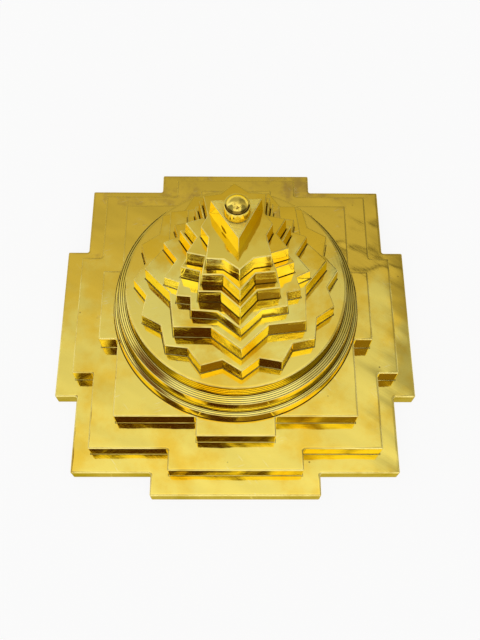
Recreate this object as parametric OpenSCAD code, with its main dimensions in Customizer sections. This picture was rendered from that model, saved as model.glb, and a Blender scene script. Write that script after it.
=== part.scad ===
// Meru shri yantra: three gated plates, three turned rings, six star tiers, a trikona and a bindu,
// drawn together by a centre stud and kept from turning by dowels. Millimetres, +Z up.
// The origin is on the stud axis, in the plane that the base plate rests on. The front is -Y.

/* [Base plate] */
// Side of the base plate between its corners
base_side = 66.8; // [62:0.2:80]
// Width of the base plate over two opposite gates
base_span = 76; // [70:0.2:92]
// Width of one gate of the base plate
base_gate = 34.4; // [20:0.2:50]
// Thickness of the base plate
base_t = 3.6; // [3:0.1:6]

/* [Middle plate] */
// Side of the middle plate between its corners
middle_side = 59; // [52:0.2:66]
// Width of the middle plate over two opposite gates
middle_span = 67.8; // [62:0.1:76]
// Width of one gate of the middle plate
middle_gate = 27; // [16:0.2:40]
// Thickness of the middle plate
middle_t = 4.4; // [2:0.1:7]

/* [Upper plate] */
// Side of the upper plate between its corners
upper_side = 48.4; // [44:0.2:56]
// Width of the upper plate over two opposite gates
upper_span = 56.3; // [52:0.1:64]
// Width of one gate of the upper plate
upper_gate = 15.7; // [10:0.1:30]
// Thickness of the upper plate
upper_t = 4.6; // [3:0.1:8]

/* [Plate corners] */
// Fillet in the inner corners beside the gates of every plate
gate_fillet = 0.5; // [0.2:0.1:1.5]

/* [Rings] */
// Diameter of the lower ring
lower_ring_d = 50.6; // [48:0.2:56]
// Thickness of the lower ring
lower_ring_t = 2.5; // [1:0.1:5]
// Diameter of the middle ring
middle_ring_d = 48.2; // [45:0.2:50]
// Thickness of the middle ring
middle_ring_t = 3.8; // [1.5:0.1:6]
// Diameter of the top disc, the third ring
disc_d = 44.1; // [42:0.1:48]
// Thickness of the top disc
disc_t = 3.6; // [3:0.1:7]

/* [Sixteen-pointed star] */
// Reach of its tips from the axis, on its top face
sixteen_tip = 19.8; // [19:0.1:21]
// Reach of its notches from the axis, on its top face
sixteen_notch = 17.7; // [15:0.1:19]
// Thickness of the sixteen-pointed star
sixteen_t = 3.8; // [2:0.1:6]

/* [Outer eight-pointed star] */
// Reach of its tips from the axis, on its top face
outer_eight_tip = 17.2; // [15:0.1:19]
// Reach of its notches from the axis, on its top face
outer_eight_notch = 13.7; // [13:0.1:16]
// Thickness of the outer eight-pointed star
outer_eight_t = 4.3; // [2:0.1:6]

/* [Fourteen-pointed star] */
// Angles of its tips from the front axis, in one quarter
fourteen_angles = [0, 40, 57, 75]; // [0:1:90]
// Reach of those tips from the axis, on its top face
fourteen_tips = [14.5, 13.6, 13.5, 13.9]; // [12:0.1:15]
// Reach of the notch after each of those tips
fourteen_notches = [11.7, 11.7, 11.7, 11]; // [10:0.1:12.5]
// Thickness of the fourteen-pointed star
fourteen_t = 3.1; // [2:0.1:6]

/* [Outer ten-pointed star] */
// Angles of its tips from the front axis, in one quarter
outer_ten_angles = [0, 40, 70]; // [0:1:90]
// Reach of those tips from the axis, on its top face
outer_ten_tips = [12.3, 11.3, 10.8]; // [10:0.1:12.5]
// Reach of the notch after each of those tips
outer_ten_notches = [9.5, 8.3, 8]; // [7.5:0.1:10]
// Thickness of the outer ten-pointed star
outer_ten_t = 3.9; // [2:0.1:6]

/* [Inner ten-pointed star] */
// Angles of its tips from the front axis, in one quarter
inner_ten_angles = [0, 41, 71.5]; // [0:0.5:90]
// Reach of those tips from the axis, on its top face
inner_ten_tips = [10.8, 9.8, 9.4]; // [8:0.1:11]
// Reach of the notch after each of those tips
inner_ten_notches = [8.1, 6.9, 7]; // [6.5:0.1:8.5]
// Thickness of the inner ten-pointed star
inner_ten_t = 3.9; // [2:0.1:6]

/* [Inner eight-pointed star] */
// Angles of its tips from the front axis, in one quarter
inner_eight_angles = [0, 42, 90]; // [0:1:90]
// Reach of those tips from the axis, on its top face
inner_eight_tips = [8.6, 8.3, 6.2]; // [6:0.1:9]
// Reach of the notch after each of those tips
inner_eight_notches = [7, 5.4]; // [5.2:0.1:7.5]
// Thickness of the inner eight-pointed star
inner_eight_t = 3.5; // [2.5:0.1:6]

/* [Trikona] */
// Reach of its three corners from the axis, on its top face
trikona_tip = 5; // [4.8:0.1:5.2]
// Thickness of the trikona
trikona_t = 4.2; // [2.5:0.1:6]

/* [Bindu] */
// Diameter of the seat that the bindu stands on
seat_d = 4.4; // [4:0.1:5.2]
// Height of the seat
seat_t = 2.4; // [2.1:0.1:3.5]
// Diameter of the bead at its foot
bead_d = 3.8; // [3:0.1:4.2]
// Height of the bead, a low dome
bead_t = 1; // [0.6:0.1:1.4]
// Diameter of the peg under the bead
peg_d = 1.4; // [0.8:0.1:2]
// Length of the peg in the seat
peg_length = 0.6; // [0.4:0.1:0.8]

/* [Star stack] */
// Draft of the star and trikona walls, in degrees from upright
wall_draft = 3; // [1:0.5:6]
// Turn of the star stack on the rings, in degrees
star_turn = 3; // [-5:0.5:5]

/* [Stud, nut and washer] */
// Diameter of the centre stud
stud_d = 2.5; // [2:0.1:3]
// Gap between the stud and each bore, on the radius
stud_gap = 0.05; // [0.02:0.01:0.1]
// Length of the stud in the seat of the bindu
stud_grip = 1.2; // [0.8:0.1:1.5]
// Width of the clamp nut over its flats
nut_flats = 5; // [4.5:0.1:6]
// Thickness of the clamp nut
nut_t = 1.6; // [1:0.1:1.8]
// Diameter of the clamp washer
washer_d = 6; // [5.5:0.1:8]
// Thickness of the clamp washer
washer_t = 0.5; // [0.3:0.1:0.6]
// Depth of the nut above the resting face
nut_recess = 0.2; // [0.1:0.1:0.4]
// Gap around the washer in its well, on the radius
well_gap = 0.5; // [0.3:0.1:1]

/* [Dowels] */
// Diameter of the two dowels through the plates
plate_dowel_d = 2; // [1.5:0.1:3]
// Distance of those dowels from the axis
plate_dowel_reach = 18; // [17:0.5:21]
// Diameter of the two dowels through the rings
ring_dowel_d = 2; // [1.5:0.1:3]
// Distance of those dowels from the axis
ring_dowel_reach = 14; // [8:0.5:14.5]
// Diameter of the two dowels through the stars
star_dowel_d = 1.5; // [1:0.1:2]
// Distance of those dowels from the axis
star_dowel_reach = 3.6; // [3:0.1:4]
// Diameter of the pin under the trikona
trikona_pin_d = 1; // [0.6:0.1:1.2]
// Distance of that pin from the axis
trikona_pin_reach = 3.3; // [2.8:0.1:3.6]
// Length of that pin in the trikona, and in the star under it
trikona_pin_depth = 1.2; // [0.8:0.1:1.6]
// Metal left at the blind end of each dowel hole
dowel_cover = 1.2; // [0.6:0.1:1.6]
// Gap between each dowel or peg and its hole, on the radius
dowel_gap = 0.02; // [0.01:0.01:0.05]

/* [Hidden] */

// Sides of a round shape, and the overlap of a cut past a face
$fn = 96;
past = 0.5;

// Foot of each tier, from the resting face upwards
base_z = 0;
middle_z = base_z + base_t;
upper_z = middle_z + middle_t;
lower_ring_z = upper_z + upper_t;
middle_ring_z = lower_ring_z + lower_ring_t;
disc_z = middle_ring_z + middle_ring_t;
sixteen_z = disc_z + disc_t;
outer_eight_z = sixteen_z + sixteen_t;
fourteen_z = outer_eight_z + outer_eight_t;
outer_ten_z = fourteen_z + fourteen_t;
inner_ten_z = outer_ten_z + outer_ten_t;
inner_eight_z = inner_ten_z + inner_ten_t;
trikona_z = inner_eight_z + inner_eight_t;
seat_z = trikona_z + trikona_t;
bead_z = seat_z + seat_t;
// Radius of the ball that the bead's dome is cut from
bead_ball_r = (bead_d * bead_d / 4 + bead_t * bead_t) / (2 * bead_t);

// Nut, washer and stud, in a well under the base plate
washer_z = nut_recess + nut_t;
well_depth = washer_z + washer_t;
well_d = washer_d + 2 * well_gap;
bore_d = stud_d + 2 * stud_gap;
stud_top = seat_z + stud_grip;

// Ends of the dowels
plate_dowel_foot = base_z + dowel_cover;
plate_dowel_top = lower_ring_z - dowel_cover;
ring_dowel_foot = upper_z + dowel_cover;
ring_dowel_top = sixteen_z - dowel_cover;
star_dowel_foot = disc_z + dowel_cover;
star_dowel_top = trikona_z - dowel_cover;

// Colours of the finishes
polished_brass = "#d6ae45";
turned_brass = "#e2c266";
steel = "#a9adb0";

// Outlines

// Point at an angle from the front axis and at a reach from the stud axis
function at(angle, reach) = reach * [sin(angle), -cos(angle)];

// Tips and notches of one quarter of a star, as pairs of angle and reach
function quarter_rim(angles, tips, notches) =
  [for (i = [0 : len(angles) - 1])
    let (next = i + 1 < len(angles) ? angles[i + 1] : 180 - angles[i])
    each i < len(notches)
      ? [[angles[i], tips[i]], [(angles[i] + next) / 2, notches[i]]]
      : [[angles[i], tips[i]]]
  ];

// Outline of a star that is the same on both sides and at its front and back
function star_outline(angles, tips, notches) =
  let (
    quarter = quarter_rim(angles, tips, notches),
    back = [for (i = [len(quarter) - 2 : -1 : 0]) [180 - quarter[i][0], quarter[i][1]]],
    side = concat(quarter, back),
    other = [for (i = [len(side) - 2 : -1 : 1]) [360 - side[i][0], side[i][1]]]
  )
  [for (p = concat(side, other)) at(p[0], p[1])];

// Outline of a star with equal tips
function even_outline(count, tip, notch) =
  [for (i = [0 : count - 1]) each [at(i * 360 / count, tip), at((i + 0.5) * 360 / count, notch)]];

// Unit vector square to an edge, towards the outside of a counter-clockwise outline
function outward(a, b) = [b.y - a.y, a.x - b.x] / norm(b - a);

// Outline with every edge moved outwards by the same distance
function outset(outline, distance) =
  let (n = len(outline))
  [for (i = [0 : n - 1])
    let (
      before = outward(outline[(i + n - 1) % n], outline[i]),
      after = outward(outline[i], outline[(i + 1) % n])
    )
    outline[i] + distance * (before + after) / (1 + before * after)
  ];

// Shared shapes

// Prism under an outline, with walls that spread towards the foot by the draft.
// Its two flat faces are drawn as triangles around the axis.
module drafted_prism(outline, height) {
  n = len(outline);
  foot = outset(outline, height * tan(wall_draft));
  polyhedron(
    points = concat(
      [for (p = foot) [p.x, p.y, 0]],
      [for (p = outline) [p.x, p.y, height]],
      [[0, 0, 0], [0, 0, height]]
    ),
    faces = concat(
      [for (i = [0 : n - 1]) [2 * n, i, (i + 1) % n]],
      [for (i = [0 : n - 1]) [2 * n + 1, n + (i + 1) % n, n + i]],
      [for (i = [0 : n - 1]) [i, n + i, n + (i + 1) % n, (i + 1) % n]]
    )
  );
}

// Square outline with a gate on each side and a fillet in every inner corner
module gated_outline(side, span, gate) {
  square(side, center = true);
  square([gate, span], center = true);
  square([span, gate], center = true);
  for (turn = [0 : 90 : 270], flip = [0, 1]) {
    rotate(turn)
      mirror([flip, 0])
        translate([gate / 2, side / 2])
          difference() {
            square(gate_fillet);
            translate([gate_fillet, gate_fillet])
              circle(gate_fillet);
          }
  }
}

// Bore for the stud through a tier
module stud_bore(foot, height) {
  translate([0, 0, foot - past])
    cylinder(d = bore_d, h = height + 2 * past);
}

// Two pins on the X axis, or the holes for them
module pin_pair(reach, diameter, foot, top) {
  for (side = [-1, 1]) {
    translate([side * reach, 0, foot])
      cylinder(d = diameter, h = top - foot);
  }
}

// Dowels of the plates, or the holes for them
module plate_pins(gap) {
  pin_pair(plate_dowel_reach, plate_dowel_d + 2 * gap, plate_dowel_foot, plate_dowel_top);
}

// Dowels of the rings, or the holes for them
module ring_pins(gap) {
  pin_pair(ring_dowel_reach, ring_dowel_d + 2 * gap, ring_dowel_foot, ring_dowel_top);
}

// Dowels of the stars, or the holes for them
module star_pins(gap) {
  rotate(star_turn)
    pin_pair(star_dowel_reach, star_dowel_d + 2 * gap, star_dowel_foot, star_dowel_top);
}

// Pin between the trikona and the star under it, or the hole for that pin
module front_pin(gap) {
  rotate(star_turn)
    translate([0, -trikona_pin_reach, trikona_z - trikona_pin_depth])
      cylinder(d = trikona_pin_d + 2 * gap, h = 2 * trikona_pin_depth);
}

// Gated plate with its bore and its dowel holes
module plate(side, span, gate, foot, height) {
  difference() {
    translate([0, 0, foot])
      linear_extrude(height)
        gated_outline(side, span, gate);
    stud_bore(foot, height);
    plate_pins(dowel_gap);
  }
}

// Turned ring with its bore and its dowel holes
module ring(diameter, foot, height) {
  difference() {
    translate([0, 0, foot])
      cylinder(d = diameter, h = height);
    stud_bore(foot, height);
    ring_pins(dowel_gap);
  }
}

// Star tier with its bore and its dowel holes
module star(outline, foot, height) {
  difference() {
    translate([0, 0, foot])
      rotate(star_turn)
        drafted_prism(outline, height);
    stud_bore(foot, height);
    star_pins(dowel_gap);
  }
}

// Plates

module base_plate() {
  color(polished_brass)
    difference() {
      plate(base_side, base_span, base_gate, base_z, base_t);
      translate([0, 0, base_z - past])
        cylinder(d = well_d, h = well_depth + past);
    }
}

module middle_plate() {
  color(polished_brass)
    plate(middle_side, middle_span, middle_gate, middle_z, middle_t);
}

module upper_plate() {
  color(polished_brass)
    difference() {
      plate(upper_side, upper_span, upper_gate, upper_z, upper_t);
      ring_pins(dowel_gap);
    }
}

// Rings

module lower_ring() {
  color(turned_brass)
    ring(lower_ring_d, lower_ring_z, lower_ring_t);
}

module middle_ring() {
  color(turned_brass)
    ring(middle_ring_d, middle_ring_z, middle_ring_t);
}

module top_disc() {
  color(turned_brass)
    difference() {
      ring(disc_d, disc_z, disc_t);
      star_pins(dowel_gap);
    }
}

// Star tiers

module sixteen_point_star() {
  color(polished_brass)
    star(even_outline(16, sixteen_tip, sixteen_notch), sixteen_z, sixteen_t);
}

module outer_eight_point_star() {
  color(polished_brass)
    star(even_outline(8, outer_eight_tip, outer_eight_notch), outer_eight_z, outer_eight_t);
}

module fourteen_point_star() {
  outline = star_outline(fourteen_angles, fourteen_tips, fourteen_notches);
  color(polished_brass)
    star(outline, fourteen_z, fourteen_t);
}

module outer_ten_point_star() {
  outline = star_outline(outer_ten_angles, outer_ten_tips, outer_ten_notches);
  color(polished_brass)
    star(outline, outer_ten_z, outer_ten_t);
}

module inner_ten_point_star() {
  outline = star_outline(inner_ten_angles, inner_ten_tips, inner_ten_notches);
  color(polished_brass)
    star(outline, inner_ten_z, inner_ten_t);
}

module inner_eight_point_star() {
  outline = star_outline(inner_eight_angles, inner_eight_tips, inner_eight_notches);
  color(polished_brass)
    difference() {
      star(outline, inner_eight_z, inner_eight_t);
      front_pin(dowel_gap);
    }
}

// Trikona and bindu

module trikona() {
  color(polished_brass)
    difference() {
      translate([0, 0, trikona_z])
        rotate(star_turn)
          drafted_prism([for (i = [0 : 2]) at(i * 120, trikona_tip)], trikona_t);
      stud_bore(trikona_z, trikona_t);
      front_pin(dowel_gap);
    }
}

module bindu_seat() {
  color(turned_brass)
    difference() {
      translate([0, 0, seat_z])
        cylinder(d = seat_d, h = seat_t);
      translate([0, 0, seat_z - past])
        cylinder(d = bore_d, h = stud_grip + past);
      translate([0, 0, bead_z - peg_length])
        cylinder(d = peg_d + 2 * dowel_gap, h = peg_length + past);
    }
}

module bindu_bead() {
  color(turned_brass) {
    difference() {
      translate([0, 0, bead_z + bead_t - bead_ball_r])
        sphere(r = bead_ball_r);
      translate([0, 0, bead_z - 2 * bead_ball_r])
        cylinder(r = 2 * bead_ball_r, h = 2 * bead_ball_r);
    }
    translate([0, 0, bead_z - peg_length])
      cylinder(d = peg_d, h = peg_length + past);
  }
}

// Stud, washer, nut and dowels

module centre_stud() {
  color(steel)
    translate([0, 0, nut_recess])
      cylinder(d = stud_d, h = stud_top - nut_recess);
}

module clamp_washer() {
  color(steel)
    difference() {
      translate([0, 0, washer_z])
        cylinder(d = washer_d, h = washer_t);
      stud_bore(washer_z, washer_t);
    }
}

module clamp_nut() {
  color(steel)
    difference() {
      translate([0, 0, nut_recess])
        cylinder(d = nut_flats / cos(30), h = nut_t, $fn = 6);
      stud_bore(nut_recess, nut_t);
    }
}

module plate_dowels() {
  color(steel)
    plate_pins(0);
}

module ring_dowels() {
  color(steel)
    ring_pins(0);
}

module star_dowels() {
  color(steel)
    star_pins(0);
}

module trikona_pin() {
  color(steel)
    front_pin(0);
}

base_plate();
middle_plate();
upper_plate();
lower_ring();
middle_ring();
top_disc();
sixteen_point_star();
outer_eight_point_star();
fourteen_point_star();
outer_ten_point_star();
inner_ten_point_star();
inner_eight_point_star();
trikona();
bindu_seat();
bindu_bead();
centre_stud();
clamp_washer();
clamp_nut();
plate_dowels();
ring_dowels();
star_dowels();
trikona_pin();
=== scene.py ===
import math

import bmesh
import bpy
from mathutils import Matrix, Vector


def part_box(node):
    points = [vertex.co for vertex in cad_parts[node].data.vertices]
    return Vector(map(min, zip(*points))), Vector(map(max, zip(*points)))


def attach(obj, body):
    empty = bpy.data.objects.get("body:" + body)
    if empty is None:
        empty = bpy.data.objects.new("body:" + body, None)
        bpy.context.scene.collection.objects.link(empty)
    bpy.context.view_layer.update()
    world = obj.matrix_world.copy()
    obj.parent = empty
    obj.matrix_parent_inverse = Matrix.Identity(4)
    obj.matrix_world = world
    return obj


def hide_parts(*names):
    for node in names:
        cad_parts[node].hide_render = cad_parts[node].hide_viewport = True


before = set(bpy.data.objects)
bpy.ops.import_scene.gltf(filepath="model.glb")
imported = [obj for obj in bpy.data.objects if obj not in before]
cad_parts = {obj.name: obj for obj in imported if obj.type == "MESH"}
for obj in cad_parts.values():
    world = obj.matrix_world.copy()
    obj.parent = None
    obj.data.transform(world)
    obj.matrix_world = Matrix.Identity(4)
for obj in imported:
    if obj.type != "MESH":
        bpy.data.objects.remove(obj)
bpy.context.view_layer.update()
scene = bpy.context.scene
scene.view_settings.view_transform = "Standard"

MM = 0.001


# Node helpers

def add(tree, kind, inputs=(), **settings):
    """A new node with its settings, its plain input values and its links from other sockets."""
    node = tree.nodes.new(kind)
    for name, value in settings.items():
        setattr(node, name, value)
    for key, value in dict(inputs).items():
        if isinstance(value, bpy.types.NodeSocket):
            tree.links.new(value, node.inputs[key])
        else:
            node.inputs[key].default_value = value
    return node


def calc(tree, operation, first, second=0.0):
    return add(tree, "ShaderNodeMath", {0: first, 1: second}, operation=operation).outputs[0]


def plus(tree, first, second):
    return calc(tree, "ADD", first, second)


def times(tree, first, second):
    return calc(tree, "MULTIPLY", first, second)


def ramp(tree, value, low, high, start=0.0, end=1.0, kind="SMOOTHSTEP"):
    """A value moved from one range to another and held at its ends."""
    ends = {0: value, 1: low, 2: high, 3: start, 4: end}
    return add(tree, "ShaderNodeMapRange", ends, interpolation_type=kind).outputs[0]


def blend(tree, share, first, second):
    """A value between two others."""
    return add(tree, "ShaderNodeMix", {0: share, 2: first, 3: second}).outputs[0]


def tint(tree, share, first, second, kind="MIX"):
    """A share of one colour over another."""
    colours = {0: share, 6: first, 7: second}
    return add(tree, "ShaderNodeMix", colours, data_type="RGBA", blend_type=kind).outputs[2]


def noise(tree, place, cells, detail, roughness=0.5):
    """Uneven values about one half; cells is how many of them lie along a metre."""
    inputs = {"Vector": place, "Scale": cells, "Detail": detail, "Roughness": roughness}
    return add(tree, "ShaderNodeTexNoise", inputs).outputs["Fac"]


def turned(tree, place, turn):
    """A place turned by three angles."""
    return add(tree, "ShaderNodeMapping", {"Vector": place, "Rotation": turn}).outputs[0]


def stretched(tree, place, cells):
    """A place counted in cells along a metre, its own number each way."""
    return add(tree, "ShaderNodeMapping", {"Vector": place, "Scale": cells}).outputs[0]


def parts(tree, place):
    """A place's x, y and z."""
    return add(tree, "ShaderNodeSeparateXYZ", {0: place}).outputs


def new_group(name, inputs, outputs):
    """An empty node group with its sockets; returns it with what it is given and what it puts out."""
    tree = bpy.data.node_groups.new(name, "ShaderNodeTree")
    for label, kind in inputs:
        tree.interface.new_socket(label, in_out="INPUT", socket_type="NodeSocket" + kind)
    for label, kind in outputs:
        tree.interface.new_socket(label, in_out="OUTPUT", socket_type="NodeSocket" + kind)
    return tree, tree.nodes.new("NodeGroupInput").outputs, tree.nodes.new("NodeGroupOutput").inputs


# Effects that several finishes share, with their cells along a metre

STREAK_CELLS, HOLLOW_CELLS = (220, 3200, 900), (70, 130, 100)


def buffing_group():
    """Fine streaks from a buffing wheel along one direction, and the broad hollows it leaves in a level face."""
    tree, given, result = new_group("buffing", [("Place", "Vector"), ("Turn", "Vector")],
                                    [("Streaks", "Float"), ("Hollows", "Float")])
    laid = turned(tree, given["Place"], given["Turn"])
    streaks = noise(tree, stretched(tree, laid, STREAK_CELLS), 1.0, 4.0, 0.6)
    hollows = noise(tree, stretched(tree, laid, HOLLOW_CELLS), 1.0, 1.5, 0.4)
    tree.links.new(streaks, result["Streaks"])
    tree.links.new(hollows, result["Hollows"])
    return tree


def turning_group():
    """Lines that a lathe tool leaves around the axis."""
    tree, given, result = new_group("turning_lines", [("Place", "Vector"), ("Fineness", "Float")],
                                    [("Lines", "Float")])
    flat = add(tree, "ShaderNodeVectorMath", {0: given["Place"], 1: (1, 1, 0)}, operation="MULTIPLY")
    reach = add(tree, "ShaderNodeVectorMath", {0: flat.outputs[0]}, operation="LENGTH").outputs["Value"]
    along = plus(tree, reach, parts(tree, given["Place"])[2])
    inputs = {"W": times(tree, along, given["Fineness"]), "Scale": 1.0, "Detail": 2.0}
    lines = add(tree, "ShaderNodeTexNoise", inputs, noise_dimensions="1D")
    tree.links.new(lines.outputs["Fac"], result["Lines"])
    return tree


NICK_CELLS, NICK_EDGE = 600.0, (0.05, 0.14)
HAIR_CELLS, HAIR_TURNS, HAIR_RANGE = (260, 5200, 260), (0.9, -0.35), (0.68, 0.76)
# The drift of the tarnish along y is painted shade: more of it towards the back.
STAIN_CELLS, STAIN_RANGE, BACK_SHADE_DRIFT = 95.0, (0.64, 0.8), 4.0
CLUSTER_RANGE = 0.53, 0.62


def handling_and_shade_group():
    """Marks of handling: scattered nicks, clusters of hair scratches in two directions, and brown tarnish in random
    stains, with painted shade that makes it grow towards the back."""
    tree, given, result = new_group("handling_marks_and_shade", [("Place", "Vector"), ("Amount", "Float")],
                                    [("Nicks", "Float"), ("Scratches", "Float"), ("TarnishAndShade", "Float")])
    place = given["Place"]
    cells = add(tree, "ShaderNodeTexVoronoi", {"Vector": place, "Scale": NICK_CELLS})
    pick = add(tree, "ShaderNodeSeparateColor", {0: cells.outputs["Color"]})
    chosen = calc(tree, "LESS_THAN", pick.outputs[0], given["Amount"])
    dent = ramp(tree, cells.outputs["Distance"], *NICK_EDGE, 1.0, 0.0)
    tree.links.new(times(tree, chosen, dent), result["Nicks"])
    scratches = 0.0
    for turn in HAIR_TURNS:
        hair = noise(tree, stretched(tree, turned(tree, place, (0, 0, turn)), HAIR_CELLS), 1.0, 1.0)
        scratches = calc(tree, "MAXIMUM", scratches, ramp(tree, hair, *HAIR_RANGE))
    stain = noise(tree, place, STAIN_CELLS, 5.0, 0.65)
    clusters = ramp(tree, stain, *CLUSTER_RANGE)
    tree.links.new(times(tree, scratches, clusters), result["Scratches"])
    # Painted shade: the tarnish grows towards the back, beyond its random stains.
    stains_and_back_shade = plus(tree, stain, times(tree, parts(tree, place)[1], BACK_SHADE_DRIFT))
    tree.links.new(ramp(tree, stains_and_back_shade, *STAIN_RANGE), result["TarnishAndShade"])
    return tree


BAND_CELLS, MOTTLE_CELLS = (330, 330, 1300), 2400.0
PATCH_CELLS, PATCH_RANGE, PATCH_LEAST = 240.0, (0.42, 0.6), 0.15


def grain_group():
    """Walls that a buffing wheel doesn't reach: uneven bands that the file left along them, a mottled skin, and
    rougher patches."""
    tree, given, result = new_group("wall_grain", [("Place", "Vector")],
                                    [("Bands", "Float"), ("Mottle", "Float"), ("Patches", "Float")])
    place = given["Place"]
    bands = noise(tree, stretched(tree, place, BAND_CELLS), 1.0, 2.5, 0.5)
    mottle = noise(tree, place, MOTTLE_CELLS, 3.0, 0.6)
    wide = noise(tree, place, PATCH_CELLS, 1.0)
    tree.links.new(bands, result["Bands"])
    tree.links.new(mottle, result["Mottle"])
    tree.links.new(ramp(tree, wide, *PATCH_RANGE, PATCH_LEAST, 1.0), result["Patches"])
    return tree


TONE_CELLS, TONE_RANGE = 110.0, (0.36, 0.64)
# The drift along y paints light and shade: the brass paler towards the front, warmer towards the back.
PAINTED_SHEEN_DRIFT, FRONT_SHEEN_CAP = 14.0, -0.06


def tone_and_sheen_group():
    """Brass that drifts at random between a warmer tone and a paler one, with painted shade that makes it warmer
    towards the back and painted light that makes it paler towards the front."""
    tree, given, result = new_group("tone_and_painted_sheen", [("Place", "Vector"), ("Warm", "Color"), ("Pale", "Color")],
                                    [("Colour", "Color")])
    cloud = noise(tree, given["Place"], TONE_CELLS, 4.0, 0.6)
    # Painted light and shade: paler towards the front, warmer towards the back.
    drift = calc(tree, "MAXIMUM", times(tree, parts(tree, given["Place"])[1], PAINTED_SHEEN_DRIFT), FRONT_SHEEN_CAP)
    share = ramp(tree, calc(tree, "SUBTRACT", cloud, drift), *TONE_RANGE)
    tree.links.new(tint(tree, share, given["Warm"], given["Pale"]), result["Colour"])
    return tree


buffing = buffing_group()
turning_lines = turning_group()
handling_marks_and_shade = handling_and_shade_group()
wall_grain = grain_group()
tone_and_painted_sheen = tone_and_sheen_group()


def placed(tree, made, **values):
    """A shared effect placed in a material with its own values; returns its outputs."""
    return add(tree, "ShaderNodeGroup", values, node_tree=made).outputs


def toned(tree, place, tones):
    """The colour between a warm and a pale tone at each place."""
    warm, pale = tones
    return placed(tree, tone_and_painted_sheen, Place=place, Warm=(*warm, 1), Pale=(*pale, 1))["Colour"]


def varied(tree, values, low, high):
    """A value that goes from low to high as uneven values rise."""
    return ramp(tree, values, 0.3, 0.7, low, high)


# Finishes; depths are in mm

BRASS_GLANCE, STEEL_GLANCE = (0.92, 0.76, 0.22, 1), (0.8, 0.8, 0.82, 1)
NICK, SCRATCH, TARNISH_AND_SHADE = (0.16, 0.08, 0.015, 1), (0.97, 0.88, 0.5, 1), (0.5, 0.31, 0.07, 1)
MARKS = (("TarnishAndShade", 0.7, TARNISH_AND_SHADE), ("Scratches", 0.6, SCRATCH), ("Nicks", 0.6, NICK))
NICK_DEPTH = 0.012


def new_material(name, glance=BRASS_GLANCE):
    """A metal whose colour at a glancing view is glance."""
    material = bpy.data.materials.new(name)
    material.use_nodes = True
    tree = material.node_tree
    shader = tree.nodes["Principled BSDF"]
    shader.inputs["Metallic"].default_value = 1.0
    shader.inputs["Specular Tint"].default_value = glance
    place = add(tree, "ShaderNodeTexCoord").outputs["Object"]
    return material, tree, shader, place


def raise_surface(tree, shader, height):
    """Turns a height in metres into the shading of the surface."""
    bump = add(tree, "ShaderNodeBump", {"Strength": 1.0, "Distance": 1.0, "Height": height})
    tree.links.new(bump.outputs[0], shader.inputs["Normal"])


def wall_share(tree):
    """One on upright walls, nothing on level faces."""
    facing = parts(tree, add(tree, "ShaderNodeNewGeometry").outputs["True Normal"])
    return ramp(tree, calc(tree, "ABSOLUTE", facing[2]), 0.5, 0.2)


def worn_and_shaded_colour(tree, place, colour, amount):
    """A brass colour with tarnish, painted shade towards the back, scratches and nicks over it; returns it with the
    nicks.
    """
    marks = placed(tree, handling_marks_and_shade, Place=place, Amount=amount)
    for mark, strength, shade in MARKS:
        colour = tint(tree, times(tree, marks[mark], strength), colour, shade)
    return colour, marks["Nicks"]


def nicked(tree, height, nick):
    """A height with the nicks cut into it."""
    return calc(tree, "SUBTRACT", height, times(tree, nick, NICK_DEPTH * MM))


def polished_brass(name, tread_tones, wall_tones, turn, tread_rough, wall_rough, streak, hollow, band, grain,
                   gouged=None):
    """Brass that is buffed on its level faces and left filed on its walls: streaks and hollows on the first, bands
    and grain on the second."""
    material, tree, shader, place = new_material(name)
    wall = wall_share(tree)
    wheel = placed(tree, buffing, Place=place, Turn=(0, 0, turn))
    skin = placed(tree, wall_grain, Place=place)
    colour = tint(tree, wall, toned(tree, place, tread_tones), toned(tree, place, wall_tones))
    colour, nick = worn_and_shaded_colour(tree, place, colour, 0.04)
    if gouged:
        cut = gouge(tree, place, **gouged)
        colour = tint(tree, cut, colour, NICK)
        nick = calc(tree, "MAXIMUM", nick, cut)
    tree.links.new(colour, shader.inputs["Base Color"])
    level = varied(tree, wheel["Streaks"], tread_rough * 0.7, tread_rough * 1.5)
    upright = varied(tree, skin["Mottle"], wall_rough * 0.6, wall_rough * 1.4)
    tree.links.new(blend(tree, wall, level, upright), shader.inputs["Roughness"])
    level = plus(tree, times(tree, wheel["Streaks"], streak * MM), times(tree, wheel["Hollows"], hollow * MM))
    rough = times(tree, times(tree, skin["Mottle"], skin["Patches"]), grain * MM)
    upright = plus(tree, times(tree, skin["Bands"], band * MM), rough)
    raise_surface(tree, shader, nicked(tree, blend(tree, wall, level, upright), nick))
    return material


GOUGE_LEAN, GOUGE_REACH, GOUGE_CELLS = -0.35, 1.0, 3000.0


def gouge(tree, place, where, heading, length, height):
    """A mask of one ragged gouge: its middle in mm, its heading about the axis, and half its length and height in
    mm."""
    moved = add(tree, "ShaderNodeVectorMath", {0: place, 1: Vector(where) * MM}, operation="SUBTRACT").outputs[0]
    laid = turned(tree, turned(tree, moved, (0, 0, -heading)), (0, GOUGE_LEAN, 0))
    sized = stretched(tree, laid, [1 / (size * MM) for size in (length, GOUGE_REACH, height)])
    reach = add(tree, "ShaderNodeVectorMath", {0: sized}, operation="LENGTH").outputs["Value"]
    ragged = noise(tree, place, GOUGE_CELLS, 3.0)
    return ramp(tree, plus(tree, reach, ragged), 1.55, 1.2)


def turned_metal(name, tones, fineness, rough, depth):
    """Brass from the lathe, with fine lines around the axis."""
    material, tree, shader, place = new_material(name)
    lines = placed(tree, turning_lines, Place=place, Fineness=fineness)["Lines"]
    colour, nick = worn_and_shaded_colour(tree, place, toned(tree, place, tones), 0.03)
    tree.links.new(colour, shader.inputs["Base Color"])
    tree.links.new(varied(tree, lines, rough * 1.4, rough * 0.7), shader.inputs["Roughness"])
    raise_surface(tree, shader, nicked(tree, times(tree, lines, depth * MM), nick))
    return material


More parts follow.
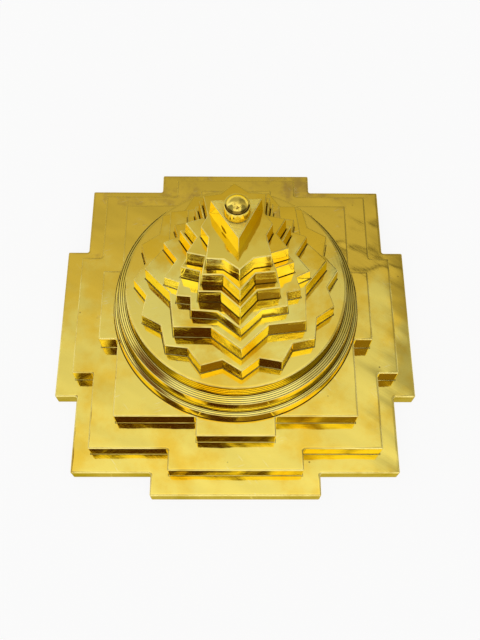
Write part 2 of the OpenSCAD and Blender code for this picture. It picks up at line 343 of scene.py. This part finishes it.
# The bead's dark colour and its lean to the front paint a dark reflection on its lower slopes.
BEAD_SHADE, SHADE_LEAN = (0.18, 0.11, 0.015, 1), 0.17
BEAD_BANDS, BEAD_DENTS = 0.03, 0.05


def bead_metal(name, tones, rough, low, high):
    """Brass of the bead: bright on its crown, with a painted dark reflection below it, mostly at the front; low and
    high are heights in mm."""
    material, tree, shader, place = new_material(name)
    skin = placed(tree, wall_grain, Place=place)
    _, back, height = parts(tree, place)
    # Painted dark reflection: darker lower on the dome, more so towards the front.
    uneven = plus(tree, height, times(tree, back, SHADE_LEAN))
    crown = ramp(tree, uneven, low * MM, high * MM)
    tree.links.new(tint(tree, crown, BEAD_SHADE, toned(tree, place, tones)), shader.inputs["Base Color"])
    tree.links.new(varied(tree, skin["Mottle"], rough * 0.7, rough * 1.4), shader.inputs["Roughness"])
    raise_surface(tree, shader, plus(tree, times(tree, skin["Bands"], BEAD_BANDS * MM),
                                     times(tree, skin["Mottle"], BEAD_DENTS * MM)))
    return material


def plain_steel(name, tones, fineness, rough, depth):
    """Machined steel of the parts inside the stack."""
    material, tree, shader, place = new_material(name, STEEL_GLANCE)
    lines = placed(tree, turning_lines, Place=place, Fineness=fineness)["Lines"]
    tree.links.new(toned(tree, place, tones), shader.inputs["Base Color"])
    tree.links.new(varied(tree, lines, rough * 1.4, rough * 0.7), shader.inputs["Roughness"])
    raise_surface(tree, shader, times(tree, lines, depth * MM))
    return material


def edge_metal(name, tones, smooth, rough, depth=None):
    """Brass of a rim or a seam, evenly mottled, with its roughness between smooth and rough."""
    material, tree, shader, place = new_material(name)
    tree.links.new(toned(tree, place, tones), shader.inputs["Base Color"])
    skin = placed(tree, wall_grain, Place=place)
    tree.links.new(varied(tree, skin["Mottle"], smooth, rough), shader.inputs["Roughness"])
    if depth:
        raise_surface(tree, shader, times(tree, skin["Mottle"], depth * MM))
    return material


# The warm and the pale tone of each kind of face

LEVEL = (0.91, 0.61, 0.065), (0.94, 0.75, 0.15)
LOWER = (0.91, 0.58, 0.04), (0.98, 0.82, 0.19)
# The upper tiers' tones are a darker, warmer copy of the lower ones: painted shade.
UPPER_PAINTED_SHADE = (0.91, 0.57, 0.035), (0.97, 0.73, 0.11)
SATIN = (0.98, 0.74, 0.08), (0.99, 0.86, 0.24)
RING = (0.91, 0.68, 0.10), (0.93, 0.78, 0.2)
FILED = (0.92, 0.78, 0.15), (0.95, 0.85, 0.26)
# The base plate's outer walls are darkened: painted shade.
OUTER_PAINTED_SHADE = (0.30, 0.22, 0.07), (0.48, 0.38, 0.16)
# Rims: worn paler, and a painted highlight along them.
WORN_AND_HIGHLIT = (0.64, 0.46, 0.08), (0.94, 0.79, 0.25)
# Seams: near black, painted shade at the feet of walls, in ring grooves and at the front of the bindu.
PAINTED_SEAM_SHADE = (0.03, 0.012, 0.003), (0.08, 0.04, 0.01)
STEEL = (0.45, 0.46, 0.48), (0.60, 0.61, 0.63)

PLATE_POLISH = dict(turn=0.6, tread_rough=0.06, streak=0.002, hollow=0.28)
STAR_POLISH = dict(turn=-0.5, tread_rough=0.06, streak=0.002, hollow=0.12)
STAR_FILING = dict(wall_rough=0.08, band=0.014, grain=0.03)
TRIKONA_GOUGE = dict(where=(-2.25, -1.5, 45.9), heading=math.atan2(-0.84, 0.54), length=0.85, height=0.6)

base_brass = polished_brass("base_brass", LEVEL, OUTER_PAINTED_SHADE, **PLATE_POLISH, wall_rough=0.2, band=0.004, grain=0.001)
plate_brass = polished_brass("plate_brass", LEVEL, FILED, **PLATE_POLISH, wall_rough=0.06, band=0.006, grain=0.004)
star_brass = polished_brass("star_brass", LOWER, FILED, **STAR_POLISH, **STAR_FILING)
# A darker, warmer copy of the star brass for the upper tiers: painted shade.
upper_brass_painted_shade = polished_brass("upper_brass_painted_shade", UPPER_PAINTED_SHADE, FILED, **STAR_POLISH, **STAR_FILING)
trikona_brass = polished_brass("trikona_brass", SATIN, FILED, turn=0.2, tread_rough=0.6, streak=0.025, hollow=0.02,
                               wall_rough=0.08, band=0.006, grain=0.0008, gouged=TRIKONA_GOUGE)
disc_brass = turned_metal("disc_brass", LEVEL, fineness=2500, rough=0.08, depth=0.0003)
ring_brass = turned_metal("ring_brass", RING, fineness=2600, rough=0.1, depth=0.0002)
seat_brass = turned_metal("seat_brass", LEVEL, fineness=4000, rough=0.1, depth=0.0003)
bead_brass = bead_metal("bead_brass", LEVEL, rough=0.05, low=51.6, high=51.9)
# Worn rims with a painted highlight.
rim_wear_and_highlight = edge_metal("rim_wear_and_highlight", WORN_AND_HIGHLIT, smooth=0.3, rough=0.5, depth=0.004)
# Near-black painted shade for the seams.
seam_painted_shade = edge_metal("seam_painted_shade", PAINTED_SEAM_SHADE, smooth=0.45, rough=0.7)
stud_steel = plain_steel("stud_steel", STEEL, fineness=7000, rough=0.3, depth=0.004)


# Pieces; sizes are in mm

# Rim faces take worn brass with a painted highlight; seam faces take painted shade.
FACE, RIM, SEAM = 0, 1, 2
NEAR = 0.01
SEAM_HIGH = 0.02
LONGEST_MITRE = 2.2
CORNER = math.radians(40)


def finish_piece(piece, node, material):
    """Puts a new piece in the place of its CAD node."""
    for finish in (material, rim_wear_and_highlight, seam_painted_shade):
        piece.data.materials.append(finish)
    even = piece.modifiers.new("even_faces", "WEIGHTED_NORMAL")
    even.keep_sharp = True
    even.weight = 100
    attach(piece, "root")
    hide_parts(node)


def new_piece(shape, name, sharp=33):
    """Makes an object of a finished shape: smooth over its roundings, sharp at corners of more than sharp degrees."""
    shape.normal_update()
    for face in shape.faces:
        face.smooth = True
    for edge in shape.edges:
        edge.smooth = edge.calc_face_angle(0) < math.radians(sharp)
    mesh = bpy.data.meshes.new(name)
    shape.to_mesh(mesh)
    shape.free()
    piece = bpy.data.objects.new(name, mesh)
    scene.collection.objects.link(piece)
    return piece


def round_edges(shape, edges, size, segments=3, finish=FACE):
    """Rounds edges by size, and gives the new faces a finish."""
    made = bmesh.ops.bevel(shape, geom=edges, offset=size * MM, offset_type="OFFSET", affect="EDGES",
                           segments=segments, profile=0.5, material=-1, clamp_overlap=True)
    for face in made["faces"]:
        face.material_index = finish
    return made["faces"]


def is_wall(face):
    """Whether a face stands more upright than level."""
    return abs(face.normal.z) < 0.5


def sharp_edges(shape, inner, kind):
    """The sharp edges farther than inner from the axis: the upright ones, the foot edges or the rim edges."""
    ground = min(v.co.z for v in shape.verts) + NEAR * MM
    crown = max(v.co.z for v in shape.verts) - NEAR * MM
    found = []
    for edge in shape.edges:
        if len(edge.link_faces) != 2 or edge.calc_face_angle() < CORNER:
            continue
        first, last = (v.co for v in edge.verts)
        if min(first.xy.length, last.xy.length) < inner * MM:
            continue
        if abs((last - first).normalized().z) > 0.8:
            place = "upright"
        elif max(first.z, last.z) < ground:
            place = "foot"
        elif min(first.z, last.z) > crown:
            place = "rim"
        else:
            place = "between"
        if place == kind:
            found.append(edge)
    return found


def spread_foot(shape, inner, slope, seam):
    """Spreads the foot of the walls: a polished slope as wide as slope, in the rim finish with its painted highlight,
    and painted shade as wide as seam along it.
    """
    ground = min(v.co.z for v in shape.verts)
    walls = {face for edge in sharp_edges(shape, inner, "foot") for face in edge.link_faces if is_wall(face)}
    for height in (SEAM_HIGH, slope + SEAM_HIGH):
        edges = {edge for face in walls for edge in face.edges}
        verts = {vert for face in walls for vert in face.verts}
        bmesh.ops.bisect_plane(shape, geom=[*verts, *edges, *walls], plane_co=(0, 0, ground + height * MM),
                               plane_no=(0, 0, 1))
        low = {vert for edge in sharp_edges(shape, inner, "foot") for vert in edge.verts}
        walls = {face for vert in low for face in vert.link_faces if is_wall(face)}
        walls |= {other for face in walls for edge in face.edges for other in edge.link_faces if is_wall(other)}
    shifts = {}
    for vert in {vert for face in walls for vert in face.verts}:
        height = (vert.co.z - ground) / MM
        if height < slope:
            facing = [face.normal.xy.normalized() for face in vert.link_faces if is_wall(face)]
            middle = sum(facing, Vector((0, 0)))
            mitre = min(len(facing) / max(middle.length, 0.01), LONGEST_MITRE)
            spread = slope + seam if height < SEAM_HIGH / 2 else slope
            shifts[vert] = (middle.normalized() * mitre * spread * MM).to_3d()
    for vert, shift in shifts.items():
        vert.co += shift
    shape.normal_update()
    # The strip at the very foot takes painted shade, the slope above it the rim's painted highlight.
    for face in shape.faces:
        top = (max(v.co.z for v in face.verts) - ground) / MM
        if face.normal.z > 0.05 and top < slope + SEAM_HIGH + NEAR / 2:
            face.material_index = SEAM if top < SEAM_HIGH + NEAR / 2 else RIM


def polished_tier(node, inner, edge, slope=0, seam=0, corner_finish=FACE):
    """A plate or star tier: the CAD node with its edges rounded and its foot spread, farther than inner from the
    axis."""
    shape = bmesh.new()
    shape.from_mesh(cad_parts[node].data)
    bmesh.ops.remove_doubles(shape, verts=shape.verts, dist=0.002 * MM)
    bmesh.ops.dissolve_limit(shape, angle_limit=math.radians(0.5), verts=shape.verts, edges=shape.edges)
    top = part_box(node)[1].z
    tread = [face for face in shape.faces
             if face.normal.z > 0.99 and face.calc_center_median().z > top - NEAR * MM]
    bmesh.ops.inset_region(shape, faces=tread, thickness=2 * edge * MM, use_boundary=True, use_even_offset=True)
    if slope:
        spread_foot(shape, inner, slope, seam)
    corners = [corner for corner in sharp_edges(shape, inner, "upright") if corner.is_convex]
    # Rims, and the trikona's corners, take worn brass with a painted highlight.
    for face in round_edges(shape, corners + sharp_edges(shape, inner, "rim"), edge):
        face.material_index = RIM if face.calc_center_median().z > top - edge * MM else corner_finish
    return new_piece(shape, node + "_polished")


def spun(shape, profile, closed=True):
    """Spins a profile of radii and heights about the axis."""
    verts = [shape.verts.new((r * MM, 0, z * MM)) for r, z in profile]
    ends = zip(verts, verts[1:] + verts[:1]) if closed else zip(verts, verts[1:])
    edges = [shape.edges.new(pair) for pair in ends]
    bmesh.ops.spin(shape, geom=verts + edges, cent=(0, 0, 0), axis=(0, 0, 1), angle=math.tau, steps=256,
                   use_merge=True)
    bmesh.ops.remove_doubles(shape, verts=shape.verts, dist=0.0005 * MM)
    bmesh.ops.recalc_face_normals(shape, faces=shape.faces)


STUD_HOLE = 1.3
GROOVE_DEPTH, GROOVE_FALL = 0.045, 0.66
RING_RIM, RING_FOOT, RING_LEAN = 0.14, 0.14, 0.3


def turned_ring(node, tread, grooves):
    """A turned ring: tool grooves on its tread, outwards of the radius tread, a rounded rim in the rim finish with
    its painted highlight, a wall that leans in, and painted shade along its foot and in its grooves."""
    low, high = (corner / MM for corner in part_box(node))
    outer, crown = high.x, high.x - RING_LEAN
    profile = [(STUD_HOLE, low.z), (STUD_HOLE, high.z), (tread, high.z)]
    pitch = (crown - RING_RIM - tread) / max(grooves, 1)
    for i in range(grooves):
        profile += [(tread + pitch * (i + GROOVE_FALL), high.z - GROOVE_DEPTH), (tread + pitch * (i + 1), high.z)]
    profile += [(crown, high.z), (outer - RING_LEAN * 0.35, (low.z + high.z) / 2),
                (outer, low.z + RING_FOOT), (outer + RING_FOOT, low.z)]
    shape = bmesh.new()
    spun(shape, profile)
    edges = [edge for edge in sharp_edges(shape, tread, "rim")
             if max(v.co.xy.length for v in edge.verts) > (crown - NEAR) * MM]
    round_edges(shape, edges, size=RING_RIM * 0.9, segments=4, finish=RIM)
    for face in shape.faces:
        middle = face.calc_center_median()
        foot = max(v.co.z for v in face.verts) < (low.z + RING_FOOT + NEAR) * MM
        grooved = (middle.z > (high.z - GROOVE_DEPTH) * MM
                   and tread * MM < middle.xy.length < (crown - RING_RIM) * MM)
        riser = grooved and face.normal.xy.dot(middle.xy) < 0
        # Painted shade along the foot and on the groove risers.
        if face.normal.z > 0.1 and (foot or riser):
            face.material_index = SEAM
    return new_piece(shape, node + "_turned", 25)


def bindu_collar(node, grip, socket, depth):
    """The seat of the bindu: a turned collar with the stud's hole below, grip deep, and the bead's socket above."""
    low, high = (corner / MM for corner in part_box(node))
    shape = bmesh.new()
    spun(shape, [(0, low.z + grip), (STUD_HOLE, low.z + grip), (STUD_HOLE, low.z), (high.x, low.z),
                 (high.x, high.z), (socket, high.z), (socket, high.z - depth), (0, high.z - depth)], closed=False)
    # Painted shade on the front half of the collar's top, and along its rounded foot.
    for face in shape.faces:
        middle = face.calc_center_median()
        if face.normal.z > 0.9 and middle.z > (high.z - NEAR) * MM and middle.y < 0:
            face.material_index = SEAM
    round_edges(shape, sharp_edges(shape, high.x - NEAR, "rim"), size=0.12, segments=4)
    round_edges(shape, sharp_edges(shape, high.x - NEAR, "foot"), size=0.25, segments=1, finish=SEAM)
    return new_piece(shape, node + "_turned")


def bindu_dome(node, peg, length):
    """The bead: a low dome cut from a ball, with a rounded rim and a peg under it."""
    low, high = (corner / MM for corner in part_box(node))
    foot = low.z + length
    rise = high.z - foot
    ball = (high.x ** 2 + rise ** 2) / (2 * rise)
    shape = bmesh.new()
    bmesh.ops.create_uvsphere(shape, u_segments=96, v_segments=96, radius=ball * MM,
                              matrix=Matrix.Translation((0, 0, (high.z - ball) * MM)))
    bmesh.ops.bisect_plane(shape, geom=shape.verts[:] + shape.edges[:] + shape.faces[:], plane_co=(0, 0, foot * MM),
                           plane_no=(0, 0, -1), clear_outer=True)
    bmesh.ops.holes_fill(shape, edges=[e for e in shape.edges if e.is_boundary])
    sole = min(shape.faces, key=lambda face: face.calc_center_median().z)
    bmesh.ops.inset_region(shape, faces=[sole], thickness=(high.x - peg) * MM)
    drawn = bmesh.ops.extrude_face_region(shape, geom=[sole])["geom"]
    bmesh.ops.translate(shape, verts=[v for v in drawn if isinstance(v, bmesh.types.BMVert)],
                        vec=(0, 0, -length * MM))
    bmesh.ops.delete(shape, geom=[sole], context="FACES_ONLY")
    bmesh.ops.recalc_face_normals(shape, faces=shape.faces)
    rim = [edge for edge in shape.edges
           if all(abs(v.co.z - foot * MM) < NEAR / 10 * MM for v in edge.verts)
           and edge.verts[0].co.xy.length > (high.x + peg) / 2 * MM]
    # Painted shade on the front of the bead's rounded rim.
    for face in round_edges(shape, rim, size=0.25):
        face.material_index = SEAM if face.calc_center_median().y < 0 else FACE
    return new_piece(shape, node + "_polished")


TIERS = (("base_plate", base_brass, dict(inner=20, edge=0.3)),
         ("middle_plate", plate_brass, dict(inner=20, edge=0.26, slope=0.05, seam=0.09)),
         ("upper_plate", plate_brass, dict(inner=20, edge=0.26, slope=0.05, seam=0.09)),
         ("sixteen_point_star", star_brass, dict(inner=10, edge=0.16, slope=0.02, seam=0.12)),
         ("outer_eight_point_star", star_brass, dict(inner=10, edge=0.16, slope=0.02, seam=0.12)),
         ("fourteen_point_star", star_brass, dict(inner=8, edge=0.16, slope=0.02, seam=0.12)),
         ("outer_ten_point_star", upper_brass_painted_shade, dict(inner=6, edge=0.16, slope=0.02, seam=0.12)),
         ("inner_ten_point_star", upper_brass_painted_shade, dict(inner=5.5, edge=0.16, slope=0.02, seam=0.12)),
         ("inner_eight_point_star", upper_brass_painted_shade, dict(inner=4.8, edge=0.16, slope=0.02, seam=0.12)),
         ("trikona", trikona_brass, dict(inner=4.5, edge=0.14, corner_finish=RIM)))
RINGS = (("lower_ring", ring_brass, dict(tread=24.1, grooves=2)),
         ("middle_ring", ring_brass, dict(tread=22.05, grooves=4)),
         ("top_disc", disc_brass, dict(tread=21.2, grooves=0)))
INSIDE = ("centre_stud", "clamp_washer", "clamp_nut", "plate_dowels", "ring_dowels", "star_dowels", "trikona_pin")

for node, finish, measures in TIERS:
    finish_piece(polished_tier(node, **measures), node, finish)
for node, finish, measures in RINGS:
    finish_piece(turned_ring(node, **measures), node, finish)
finish_piece(bindu_collar("bindu_seat", grip=1.2, socket=0.75, depth=0.6), "bindu_seat", seat_brass)
finish_piece(bindu_dome("bindu_bead", peg=0.7, length=0.6), "bindu_bead", bead_brass)
for node in INSIDE:
    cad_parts[node].data.materials.clear()
    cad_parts[node].data.materials.append(stud_steel)


# Floor, light and camera

PAPER, PAPER_SEEN = (0.85, 0.85, 0.85, 1), 0.9


def white_floor():
    """A white floor that keeps the object's shadow."""
    mesh = bpy.data.meshes.new("floor")
    shape = bmesh.new()
    bmesh.ops.create_circle(shape, cap_ends=True, segments=64, radius=4)
    shape.to_mesh(mesh)
    shape.free()
    floor = bpy.data.objects.new("floor", mesh)
    scene.collection.objects.link(floor)
    material = bpy.data.materials.new("floor_white")
    material.use_nodes = True
    tree = material.node_tree
    tree.nodes.clear()
    path = add(tree, "ShaderNodeLightPath").outputs
    seen = calc(tree, "MAXIMUM", path["Is Camera Ray"], path["Is Glossy Ray"])
    seen = calc(tree, "MAXIMUM", seen, path["Is Transmission Ray"])
    paper = add(tree, "ShaderNodeBsdfDiffuse", {"Color": PAPER})
    glow = add(tree, "ShaderNodeEmission", {"Color": (1, 1, 1, 1), "Strength": 1.0})
    mixed = add(tree, "ShaderNodeMixShader",
                {0: times(tree, seen, PAPER_SEEN), 1: paper.outputs[0], 2: glow.outputs[0]})
    out = add(tree, "ShaderNodeOutputMaterial")
    tree.links.new(mixed.outputs[0], out.inputs["Surface"])
    mesh.materials.append(material)


# The studio's light from the front, at -1, to the back, at 1

STUDIO_DEPTH = [(-1.0, 1.5), (-0.64, 1.45), (-0.5, 1.4), (-0.2, 1.3), (-0.08, 1.1), (0.12, 1.06), (0.2, 0.96),
                (0.3, 0.84), (0.4, 0.7), (0.56, 0.5), (0.7, 0.45), (1.0, 0.48)]

# Each card's reach to the side and to the back, how soft its edge is, and the share of the light that it keeps

BROWN, DIM_BROWN, RED_BROWN = (0.05, 0.022, 0.02), (0.2, 0.15, 0.11), (0.17, 0.07, 0.03)
STUDIO_CARDS = [
    # The dimmer right back with a thin dark strip in it, and the brighter left
    ((0.205, 1.2), (0.16, 1.2), 0.03, (0.55, 0.55, 0.55)),
    ((0.13, 0.6), (0.46, 0.475), 0.006, (0.25, 0.25, 0.25)),
    ((-1.0, -0.42), (0.15, 0.5), 0.05, (1.35, 1.35, 1.35)),
    # What the treads of the rings mirror at the left and at the right
    ((-0.385, -0.265), (0.0, 0.22), 0.02, RED_BROWN),
    ((0.265, 0.385), (0.0, 0.22), 0.02, (0.55, 0.52, 0.48)),
    # What the front walls and the left star walls mirror, then the right front walls
    ((-0.19, 0.045), (-0.62, -0.218), 0.012, BROWN),
    ((-0.34, -0.19), (-0.64, -0.42), 0.02, BROWN),
    ((-0.52, -0.34), (-0.36, -0.18), 0.015, BROWN),
    ((0.045, 0.3), (-0.62, -0.265), 0.03, DIM_BROWN),
    # The dark right and left sides
    ((0.5, 1.2), (-1.2, 0.15), 0.03, (0.2, 0.2, 0.2)),
    ((-1.2, -0.57), (-1.2, 0.15), 0.03, (0.25, 0.25, 0.25)),
]
WHITE, SKYLINE = (1, 1, 1, 1), (0.2, 0.12)


def studio_world():
    """A pale studio: bright to the front and overhead, softer to the back, white along the floor, with dark cards
    that the polished metal mirrors."""
    world = bpy.data.worlds.new("studio")
    scene.world = world
    world.use_nodes = True
    tree = world.node_tree
    tree.nodes.clear()
    x, y, z = parts(tree, add(tree, "ShaderNodeTexCoord").outputs["Generated"])
    depth = add(tree, "ShaderNodeValToRGB", {0: ramp(tree, y, -1.0, 1.0, kind="LINEAR")})
    bar = depth.color_ramp
    while len(bar.elements) < len(STUDIO_DEPTH):
        bar.elements.new(0.5)
    for element, (where, level) in zip(bar.elements, STUDIO_DEPTH):
        element.position = (where + 1) / 2
        element.color = (level, level, level, 1)
    light = depth.outputs[0]
    for across, ahead, soft, kept in STUDIO_CARDS:
        share = 1.0
        for value, (low, high) in ((x, across), (y, ahead)):
            share = times(tree, share, ramp(tree, value, low - soft, low + soft))
            share = times(tree, share, ramp(tree, value, high + soft, high - soft))
        light = tint(tree, share, light, (*kept, 1), "MULTIPLY")
    light = tint(tree, ramp(tree, z, *SKYLINE), light, WHITE)
    back = add(tree, "ShaderNodeBackground", {"Color": light, "Strength": 1.0})
    out = add(tree, "ShaderNodeOutputWorld")
    tree.links.new(back.outputs[0], out.inputs["Surface"])


ELEVATION, SWING, ROLL = math.radians(66.26), -0.0257, 0.0262
CAMERA_PLACE = Vector((1.0, 1.86, 175.7))


def photo_camera():
    """A camera at the photograph's place, about 66 degrees up and 176 mm away."""
    data = bpy.data.cameras.new("camera")
    data.sensor_fit = "VERTICAL"
    data.sensor_height = 36
    data.lens = 44.2
    data.clip_start = 0.01
    camera = bpy.data.objects.new("camera", data)
    turn = (Matrix.Rotation(SWING, 3, "Z") @ Matrix.Rotation(math.pi / 2 - ELEVATION, 3, "X")
            @ Matrix.Rotation(ROLL, 3, "Z"))
    camera.matrix_world = Matrix.Translation(turn @ CAMERA_PLACE * MM) @ turn.to_4x4()
    scene.collection.objects.link(camera)
    scene.camera = camera


white_floor()
studio_world()
photo_camera()
